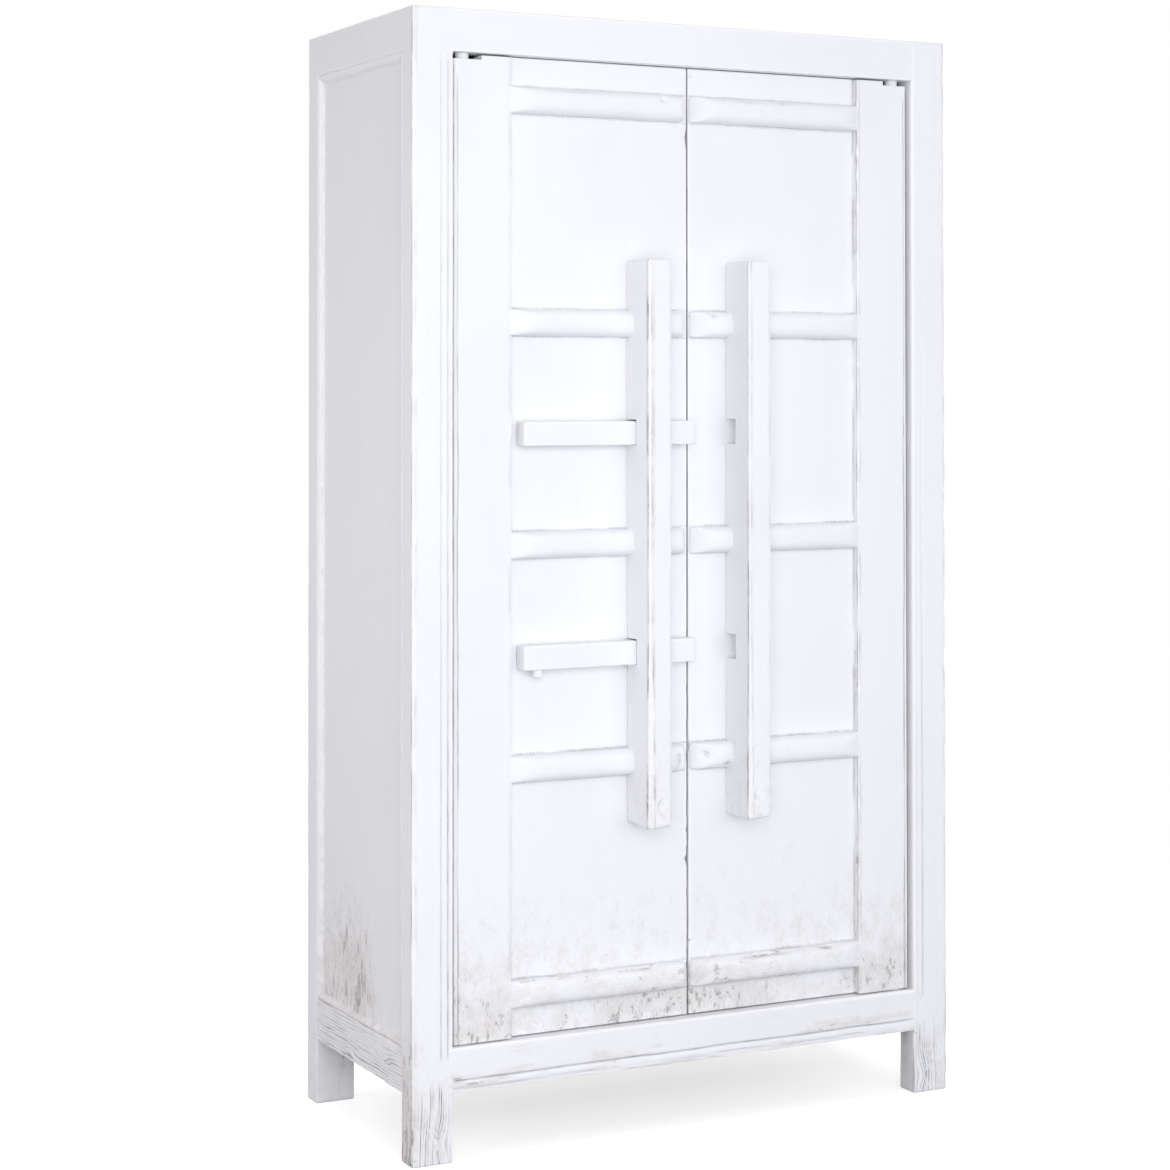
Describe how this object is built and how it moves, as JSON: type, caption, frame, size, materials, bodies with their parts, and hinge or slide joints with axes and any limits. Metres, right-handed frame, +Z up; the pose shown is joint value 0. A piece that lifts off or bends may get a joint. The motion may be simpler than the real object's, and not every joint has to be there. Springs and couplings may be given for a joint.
{
  "type": "wardrobe",
  "caption": "Tall two-door wardrobe in worn white-painted wood on square legs, with planked doors on wooden pivots, half-round battens, tall pull posts and sliding wooden bolts.",
  "frame": {"origin": "on the floor, below the middle of the whole outline, pull posts included", "axes": "+X to the viewer's right along the front, +Y from the doors towards the wall, +Z up"},
  "size_m": [1.11, 0.565, 2],
  "materials": {
    "case_paint": "worn white paint, satin, wood grain showing",
    "door_paint": "worn white paint, satin, rubbed through at edges",
    "bolt_paint": "worn white paint, satin",
    "inner_wood": "thin white wash over bare wood, matte"
  },
  "bodies": {
    "case": {"front_left_post": "case_paint", "front_right_post": "case_paint", "rear_left_post": "case_paint", "rear_right_post": "case_paint", "top_front_rail": "case_paint", "top_rear_rail": "case_paint", "top_left_rail": "case_paint", "top_right_rail": "case_paint", "bottom_front_rail": "case_paint", "bottom_rear_rail": "case_paint", "bottom_left_rail": "case_paint", "bottom_right_rail": "case_paint", "back_middle_rail": "inner_wood", "left_side_panel": "case_paint", "right_side_panel": "case_paint", "left_panel_beads": "case_paint", "right_panel_beads": "case_paint", "top_boards": "case_paint", "floor_boards": "inner_wood", "left_floor_bearer": "inner_wood", "middle_floor_bearer": "inner_wood", "right_floor_bearer": "inner_wood", "back_boards": "inner_wood", "shelf": "inner_wood", "left_shelf_bearer": "inner_wood", "right_shelf_bearer": "inner_wood", "hanging_rail": "inner_wood", "left_hanging_socket": "inner_wood", "right_hanging_socket": "inner_wood", "upper_door_stop": "inner_wood", "lower_door_stop": "inner_wood"},
    "left_door": {"left_door_stile": "door_paint", "left_door_boards": "door_paint", "left_door_bottom_batten": "door_paint", "left_door_lower_batten": "door_paint", "left_door_middle_batten": "door_paint", "left_door_upper_batten": "door_paint", "left_door_top_batten": "door_paint", "left_pull_post": "door_paint", "left_pull_pegs": "door_paint"},
    "right_door": {"right_door_stile": "door_paint", "right_door_boards": "door_paint", "right_door_bottom_batten": "door_paint", "right_door_lower_batten": "door_paint", "right_door_middle_batten": "door_paint", "right_door_upper_batten": "door_paint", "right_door_top_batten": "door_paint", "right_pull_post": "door_paint", "right_pull_pegs": "door_paint"},
    "upper_bolt": {"upper_bolt": "bolt_paint"},
    "lower_bolt": {"lower_bolt": "bolt_paint", "lower_bolt_peg": "bolt_paint"}
  },
  "joints": [
    {"name": "left_door_hinge", "type": "hinge", "parent": "case", "child": "left_door", "pos_m": [-0.45, -0.1895, 1.06], "axis": [0, 0, -1], "range_deg": [0, 100]},
    {"name": "right_door_hinge", "type": "hinge", "parent": "case", "child": "right_door", "pos_m": [0.45, -0.1895, 1.06], "axis": [0, 0, 1], "range_deg": [0, 100]},
    {"name": "upper_bolt_slide", "type": "slide", "parent": "left_door", "child": "upper_bolt", "axis": [1, 0, 0], "range_m": [0, 0.175]},
    {"name": "lower_bolt_slide", "type": "slide", "parent": "left_door", "child": "lower_bolt", "axis": [1, 0, 0], "range_m": [0, 0.175]}
  ]
}
